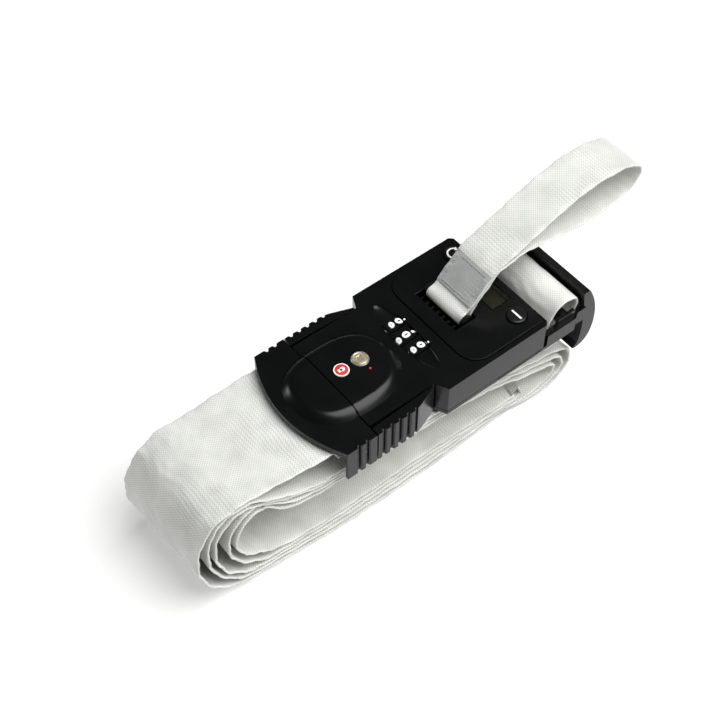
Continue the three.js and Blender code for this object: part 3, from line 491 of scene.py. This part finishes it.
def strap_mesh(name, centre, direction, tilts, along, width, closed, seed, step, cloth=None, thick=CLOTH):
    """Webbing as a closed band with rounded edges; returns the piece."""
    across_dir = np.stack([np.zeros_like(tilts), np.cos(tilts), np.sin(tilts)], 1)
    outward = np.cross(direction, across_dir)
    outward /= np.linalg.norm(outward, axis=1)[:, None]
    across_dir = np.cross(outward, direction)
    half, r = width / 2, thick / 2
    columns = np.linspace(-half + r, half - r, int(width / 1.25))
    corner = [(-half + r - r * math.sin(a), -r * math.cos(a)) for a in np.radians((0, 45, 90, 135, 180))]
    lower = [(v, -r) for v in columns[1:-1]]
    section = corner[::-1] + lower + [(-v, n) for v, n in corner] + [(-v, r) for v, _ in lower]
    place_across = np.array([v for v, _ in section])
    place_out = np.array([n for _, n in section])
    relief = ripples(along, place_across, bending(direction, step), seed)
    points = (centre[:, None, :] + across_dir[:, None, :] * place_across[None, :, None]
              + outward[:, None, :] * (place_out[None, :] + relief)[:, :, None])
    points[:, :, 2] = np.maximum(points[:, :, 2], FLOOR + 0.02)
    rings, ring = points.shape[:2]
    faces = [face for i in range(rings if closed else rings - 1)
             for face in band(i * ring, (i + 1) % rings * ring, ring)]
    if not closed:
        faces += [tuple(range(ring))[::-1], tuple(range((rings - 1) * ring, rings * ring))]
    flat = points.reshape(-1, 3) * MM + np.array(origin)
    piece = mesh_object(name, flat, faces)
    lay = piece.data.uv_layers.new(name="lay")
    u = np.repeat(along, ring) * MM
    v = np.tile(place_across, rings) * MM
    index = np.empty(len(piece.data.loops), int)
    piece.data.loops.foreach_get("vertex_index", index)
    wide = np.stack([u[index], v[index]], 1)
    if closed:                                    # the closing row runs on past the loop's length
        total = (along[-1] + step) * MM
        starts = np.empty(len(piece.data.polygons), int)
        piece.data.polygons.foreach_get("loop_start", starts)
        last = starts[-ring:]
        rows = (last[:, None] + np.array([2, 3])[None, :]).ravel()
        wide[rows, 0] = total
    lay.data.foreach_set("uv", wide.ravel())
    outward_faces(piece)
    piece.data.materials.append(cloth or polyester)
    piece.data.shade_smooth()
    piece.data.set_sharp_from_angle(angle=math.radians(65))     # the cut ends stay crisp
    return piece


def make_webbing():
    """One strap from its sewn end in the plug to its tail, cut where the plug's part ends."""
    step = 0.9
    places, tilts = smooth_line(lead_route() + wound_route(), False)
    centre, direction, tilts, along = evenly(places, tilts, step, False)
    near_lead = np.where(along < LEAD_REACH)[0]
    cut = near_lead[np.argmin(np.abs(centre[near_lead, 0] - LEAD_END))]
    parts = (("strap_lead_cloth", slice(0, cut + 1)), ("strap_wound_cloth", slice(cut, None)))
    lead, wound = (strap_mesh(name, centre[part], direction[part], tilts[part], along[part], STRAP_WIDTH,
                              False, 0.4, step) for name, part in parts)
    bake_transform(lead)
    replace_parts(lead, "strap_lead")
    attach(wound, "housing")
    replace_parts(wound, "strap_wound")


def make_loop():
    step = 0.7
    places, tilts = smooth_line(loop_route(), True)
    centre, direction, tilts, along = evenly(places, tilts, step, True)
    loop = strap_mesh("hand_loop_cloth", centre, direction, tilts, along, LOOP_WIDTH, True, 2.1, step)
    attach(loop, "loop")
    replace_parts(loop, "hand_loop")


PLY_THICK, PLY_WIDTH = 0.6, LOOP_WIDTH - 0.3
PLY_START, PLY_END = 5.5, 20.5             # distances up the loop from the pull link
PLY_MIDDLE = LOOP_SPREAD + CLOTH / 2 + PLY_THICK / 2 + 0.1
STITCH_PITCH, STITCH_LONG, STITCH_RADIUS, STITCH_SIDES = 2.3, 1.8, 0.19, 6
STITCH_MARGIN, STITCH_HALF = 1.5, 7.9      # from the ply's ends, and half the box's width
STITCH_PROUD = 0.12
STITCH_RINGS = ((0, 0.3), (0.2, 0.9), (0.5, 1), (0.8, 0.9), (1, 0.3))     # share along, share of radius


def make_sewn_part():
    """The webbing's end, sewn down on the loop above the pull link."""
    step = 0.5
    route = [(*up_the_loop(along, PLY_MIDDLE), LINK_Y) for along in (PLY_START, 10, 15, PLY_END)]
    places, tilts = smooth_line(route, False)
    centre, direction, tilts, along = evenly(places, tilts, step, False)
    # the ply wears the darker copy of the webbing: painted shade
    ply = strap_mesh("sewn_ply", centre, direction, tilts, along, PLY_WIDTH, False, 4.4, step,
                     shaded_polyester, PLY_THICK)
    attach(ply, "loop")


def make_stitches():
    """A box of stitches through the sewn part, each thick in its middle and thin where it dives."""
    first_row, last_row = PLY_START + STITCH_MARGIN, PLY_END - STITCH_MARGIN
    corners = [(first_row, -STITCH_HALF), (last_row, -STITCH_HALF), (last_row, STITCH_HALF),
               (first_row, STITCH_HALF)]
    top = PLY_MIDDLE + PLY_THICK / 2 + STITCH_PROUD
    points, faces = [], []
    for (a_from, y_from), (a_to, y_to) in zip(corners, corners[1:] + corners[:1]):
        run = math.hypot(a_to - a_from, y_to - y_from)
        ahead = ((a_to - a_from) / run, (y_to - y_from) / run)
        for k in range(int(run / STITCH_PITCH)):
            first = len(points)
            for place, girth in STITCH_RINGS:
                far = (k + 0.1) * STITCH_PITCH + place * STITCH_LONG
                for turn in range(STITCH_SIDES):
                    angle = 2 * math.pi * turn / STITCH_SIDES
                    wide = STITCH_RADIUS * girth * math.cos(angle)
                    tall = STITCH_RADIUS * girth * math.sin(angle)
                    x, z = up_the_loop(a_from + ahead[0] * far - ahead[1] * wide, top + tall)
                    y = LINK_Y + (y_from + ahead[1] * far + ahead[0] * wide)
                    points.append(at(x, y, z))
            last = first + (len(STITCH_RINGS) - 1) * STITCH_SIDES
            for near in range(first, last, STITCH_SIDES):
                faces += band(near, near + STITCH_SIDES, STITCH_SIDES)
            faces += [tuple(range(first, first + STITCH_SIDES))[::-1],
                      tuple(range(last, last + STITCH_SIDES))]
    stitches = mesh_object("loop_stitches", points, faces)
    outward_faces(stitches)
    stitches.data.shade_smooth()
    ride_with(stitches, "loop", thread)


# ---- moulded pieces ------------------------------------------------------------------------------------
def moulding(node, material, edge_mm=0.3, sharp_deg=32):
    """A CAD node's shape again, with its moulded edges rounded, standing for the node."""
    source = frame["nodes"][node]
    body = source.parent
    work = bmesh.new()
    work.from_mesh(source.data)
    bmesh.ops.remove_doubles(work, verts=work.verts, dist=2e-6)
    bmesh.ops.dissolve_limit(work, angle_limit=math.radians(0.3), verts=work.verts, edges=work.edges)
    sharp = [e for e in work.edges if e.is_manifold and e.calc_face_angle() > math.radians(sharp_deg)
             and e.calc_length() > edge_mm * MM]
    bmesh.ops.bevel(work, geom=sharp, offset=edge_mm * MM, offset_type="OFFSET", segments=2, profile=0.5,
                    affect="EDGES", clamp_overlap=True)
    mesh = bpy.data.meshes.new(node + "_moulding")
    work.to_mesh(mesh)
    work.free()
    mesh.shade_smooth()
    mesh.set_sharp_from_angle(angle=math.radians(sharp_deg))
    piece = bpy.data.objects.new(node + "_moulding", mesh)
    bpy.context.scene.collection.objects.link(piece)
    piece.matrix_world = source.matrix_world.copy()
    piece.data.materials.append(material)
    weights = piece.modifiers.new("even_faces", "WEIGHTED_NORMAL")
    weights.keep_sharp = True
    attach(piece, next(name for name, found in frame["bodies"].items() if found == body))
    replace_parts(piece, node)
    return piece


def finish_node(node, material):
    """A CAD node whose shape is right gets the material of its real finish."""
    frame["nodes"][node].material_slots[0].material = material


def ride_with(piece, body, material):
    piece.data.materials.append(material)
    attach(piece, body)
    return piece


def prism(name, outline, low, high, edge=0.04):
    """A flat piece: an outline in plan, from low to high, with a small chamfer round its top."""
    centre = np.mean(outline, 0)
    inner = [tuple(np.array(p) + (centre - p) / max(np.linalg.norm(centre - p), 1e-6) * edge)
             for p in outline]
    count = len(outline)
    rings = [[at(x, y, low) for x, y in outline], [at(x, y, high - edge) for x, y in outline],
             [at(x, y, high) for x, y in inner]]
    faces = [tuple(range(count))[::-1], tuple(range(2 * count, 3 * count))]
    for level in (0, 1):
        faces += band(level * count, (level + 1) * count, count)
    piece = mesh_object(name, [p for ring in rings for p in ring], faces)
    outward_faces(piece)
    return piece


def circle(x, y, radius, count=40):
    return [(x + radius * math.cos(a), y + radius * math.sin(a))
            for a in np.linspace(0, 2 * math.pi, count, endpoint=False)]


def turned(name, x, y, rings, count=72):
    """A piece turned about a vertical line: rings of (radius, height), radius a number or of the angle."""
    angles = np.linspace(0, 2 * math.pi, count, endpoint=False)
    points, faces = [], []
    for radius, height in rings:
        for a in angles:
            r = radius(a) if callable(radius) else radius
            points.append(at(x + r * math.cos(a), y + r * math.sin(a), height))
    for level in range(len(rings) - 1):
        faces += band(level * count, (level + 1) * count, count)
    last = (len(rings) - 1) * count
    faces += [tuple(range(count))[::-1], tuple(range(last, last + count))]
    piece = mesh_object(name, points, faces)
    outward_faces(piece)
    piece.data.shade_smooth()
    piece.data.set_sharp_from_angle(angle=math.radians(35))
    return piece


# ---- number wheels ---------------------------------------------------------------------------------------
DIAL_TURNS = (18, -2, 9)         # degrees that each wheel has been turned
DIGIT_TALL, DIGIT_WIDEN = 3.05, 1.3
INK = 0.05                       # how far the print stands proud


def digit_points(text):
    """A bold digit as a finely divided flat mesh, in millimetres about its own middle."""
    letter = bpy.data.curves.new("digit", "FONT")
    letter.body, letter.size = text, DIGIT_TALL * 1.38
    letter.align_x, letter.align_y = "CENTER", "CENTER"
    letter.offset, letter.extrude, letter.resolution_u = 0.25, INK / 2, 3
    holder = bpy.data.objects.new("digit", letter)
    bpy.context.scene.collection.objects.link(holder)
    bpy.context.view_layer.update()
    mesh = bpy.data.meshes.new_from_object(holder.evaluated_get(bpy.context.evaluated_depsgraph_get()))
    work = bmesh.new()
    work.from_mesh(mesh)
    bmesh.ops.remove_doubles(work, verts=work.verts, dist=1e-4)
    for level in (-1.0, -0.5, 0.0, 0.5, 1.0):
        bmesh.ops.bisect_plane(work, geom=work.verts[:] + work.edges[:] + work.faces[:],
                               plane_co=(0, level, 0), plane_no=(0, 1, 0))
    work.verts.index_update()
    points = np.array([v.co for v in work.verts])
    faces = [tuple(v.index for v in face.verts) for face in work.faces]
    work.free()
    bpy.data.meshes.remove(mesh)
    bpy.data.objects.remove(holder)
    bpy.data.curves.remove(letter)
    return points, faces


def make_dials():
    """Three number wheels; each digit follows its wheel's curve, and reads from the plug's end."""
    digits = [digit_points(str(n)) for n in range(10)]
    for i, body in enumerate(("dial_first", "dial_middle", "dial_last")):
        node = f"dial_{i + 1}"
        moulding(node, nylon, 0.12)
        low, high = buckle_box(node)
        x, y, z = (low + high) / 2
        radius = (high.z - low.z) / 2
        points, faces = [], []
        for n, (shape, sides) in enumerate(digits):
            middle = math.radians(DIAL_TURNS[i] + 36 * n)
            first = len(points)
            for across, up, out in shape:
                angle = middle + up / radius
                r = radius + out + INK / 4
                points.append(at(x + r * math.sin(angle), y - across * DIGIT_WIDEN, z + r * math.cos(angle)))
            faces += [tuple(first + k for k in side) for side in sides]
        ride_with(mesh_object(f"{node}_digits", points, faces), body, white_ink)


# ---- printed marks, key and buttons ------------------------------------------------------------------------
DOT_X, DOT_RADIUS = 42.6, 0.42
KEY_AT = (15.6, 1.3)


def make_marks():
    """Index dots by the wheels, and the lock's badge and red dot."""
    for name, y in (("index_dot_left", 7.5), ("index_dot_right", -6.9)):
        ride_with(prism(name, circle(DOT_X, y, DOT_RADIUS, 20), -0.2, INK), "housing", white_ink)
    low, high = buckle_box("lock_badge")
    x, y = (low.x + high.x) / 2, (low.y + high.y) / 2
    radius, top = (high.x - low.x) / 2, high.z
    rim = turned("lock_badge_rim", x, y, [(radius, low.z - 0.2), (radius, top - 0.1), (radius - 0.12, top)])
    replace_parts(ride_with(rim, "housing", white_ink), "lock_badge")
    field = turned("lock_badge_field", x, y, [(radius * 0.84, top - 0.05), (radius * 0.84, top + 0.03),
                                              (radius * 0.8, top + 0.06)])
    ride_with(field, "housing", red_enamel)
    bow = circle(x + 0.45, y, radius * 0.34, 24)
    stem = [(x + 0.3, y - 0.5), (x - 1.5, y - 0.85), (x - 1.5, y + 0.85), (x + 0.3, y + 0.5)]
    for name, outline in (("keyhole_bow", bow), ("keyhole_stem", stem)):
        ride_with(prism(name, outline, top, top + 0.1, 0.03), "housing", white_ink)
    dome_top = buckle_box("housing_cover")[1].z
    dot = circle(KEY_AT[0] + 0.2, KEY_AT[1] - 6.0, 0.5, 20)
    ride_with(prism("lock_dot", dot, dome_top - 1.2, dome_top + INK), "housing", red_enamel)


def make_key():
    """The key cylinder in its collar, with a six-lobed keyway."""
    x, y = KEY_AT
    low, high = buckle_box("key_cylinder")
    radius, top = (high.x - low.x) / 2, high.z

    def keyway(angle):
        return 1.2 + 0.4 * math.cos(3 * angle) ** 2
    face = turned("key_cylinder_face", x, y, [(radius, low.z), (radius, top - 0.25), (radius - 0.25, top),
                                              (lambda a: keyway(a) + 0.15, top), (keyway, top - 0.15),
                                              (keyway, top - 7.0)])
    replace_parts(ride_with(face, "key", turned_brass), "key_cylinder")
    # a blackened disc down in the keyway stands in for the shade in the hole: painted shade, not a real pin
    pin = prism("keyway_painted_shade_disc", circle(x, y, 1.15, 24), top - 1.5, top - 0.7)
    ride_with(pin, "key", black_steel)
    low, high = buckle_box("cylinder_collar")
    outer = (high.x - low.x) / 2
    bore = radius + 0.08
    collar = turned("key_collar", x, y, [(bore, low.z), (outer, low.z), (outer, high.z - 0.3),
                                         (outer - 0.3, high.z), (radius + 0.3, high.z),
                                         (bore, high.z - 0.2)])
    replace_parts(ride_with(collar, "housing", bright_steel), "cylinder_collar")


def strip(name, outline, low, high):
    """A flat curved strip: the outline runs out along one side and back along the other."""
    total = len(outline)
    points = [at(x, y, z) for z in (low, high) for x, y in outline]
    faces = []
    for k in range(total // 2 - 1):
        a, b, c, d = k, k + 1, total - 2 - k, total - 1 - k
        faces += [(a, d, c, b), (total + a, total + b, total + c, total + d)]
    faces += band(0, total, total)
    piece = mesh_object(name, points, faces)
    outward_faces(piece)
    return piece


def push_button(name):
    """A round button's cap on its stem; returns its middle and the height of its top."""
    low, high = buckle_box(name)
    x, y = (low.x + high.x) / 2, (low.y + high.y) / 2
    radius, top = (high.x - low.x) / 2, high.z
    cap = turned(name + "_cap", x, y, [(1.2, low.z), (1.2, -2.5), (radius, -2.5), (radius, top - 0.5),
                                       (radius - 0.15, top - 0.22), (radius - 0.5, top - 0.05),
                                       (radius - 1.2, top)])
    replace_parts(ride_with(cap, name, nylon), name)
    return x, y, top


def make_buttons():
    """Two round push buttons with a printed bar and a printed turning arrow."""
    x, y, top = push_button("power_button")
    wide, tall = 0.4, 2.7
    bar = [(x - wide, y - tall), (x + wide, y - tall), (x + wide, y + tall), (x - wide, y + tall)]
    ride_with(prism("power_bar", bar, top - 0.1, top + INK), "power_button", white_ink)
    x, y, top = push_button("unit_button")
    outer, inner, tip = 2.9, 2.2, math.radians(40)
    turn = np.radians(np.linspace(40, 330, 40))
    arc = ([(x + outer * math.cos(a), y + outer * math.sin(a)) for a in turn]
           + [(x + inner * math.cos(a), y + inner * math.sin(a)) for a in turn[::-1]])
    head = [(x + r * math.cos(tip + d), y + r * math.sin(tip + d)) for r, d in
            ((3.6, 0.0), (1.5, 0.0), (2.5, -0.55))]
    ride_with(strip("unit_arrow_ring", arc, top - 0.1, top + INK), "unit_button", white_ink)
    ride_with(prism("unit_arrow_head", head, top - 0.1, top + INK), "unit_button", white_ink)


# ---- making ----------------------------------------------------------------------------------------------
make_camera()
make_studio()
make_webbing()
make_loop()
make_sewn_part()
make_stitches()
make_dials()
make_marks()
make_key()
make_buttons()
for node in ("housing_base", "housing_cover", "scale_panel", "plug_cover", "release_arm_left",
             "release_arm_right"):
    moulding(node, abs_plastic)

SIDES, IN_A_ROW, SCREWS = ("left", "right"), (1, 2, 3), (1, 2, 3, 4)
FINISHES = [
    (nylon, ["battery_door", "adjuster_bar", "plug_tongue"]),
    (black_steel, ["link_hook", "pull_link"]),
    (bright_steel, ["power_switch", "unit_switch", "coin_cell", "battery_contact", "dial_shaft",
                    "detent_spring", "anchor_bar"]),
    (bright_steel, [f"arm_{part}_{side}" for part in ("pin", "spring") for side in SIDES]),
    (zinc_alloy, ["load_cell", "locking_slide", "key_cam"]),
    (zinc_alloy, [f"dial_sleeve_{n}" for n in IN_A_ROW] + [f"housing_screw_{n}" for n in SCREWS]),
    (smoked_acrylic, ["display_window"]),
    (liquid_crystal, ["display_module"]),
    (glass_epoxy, ["circuit_board"]),
]
for material, nodes in FINISHES:
    for node in nodes:
        finish_node(node, material)
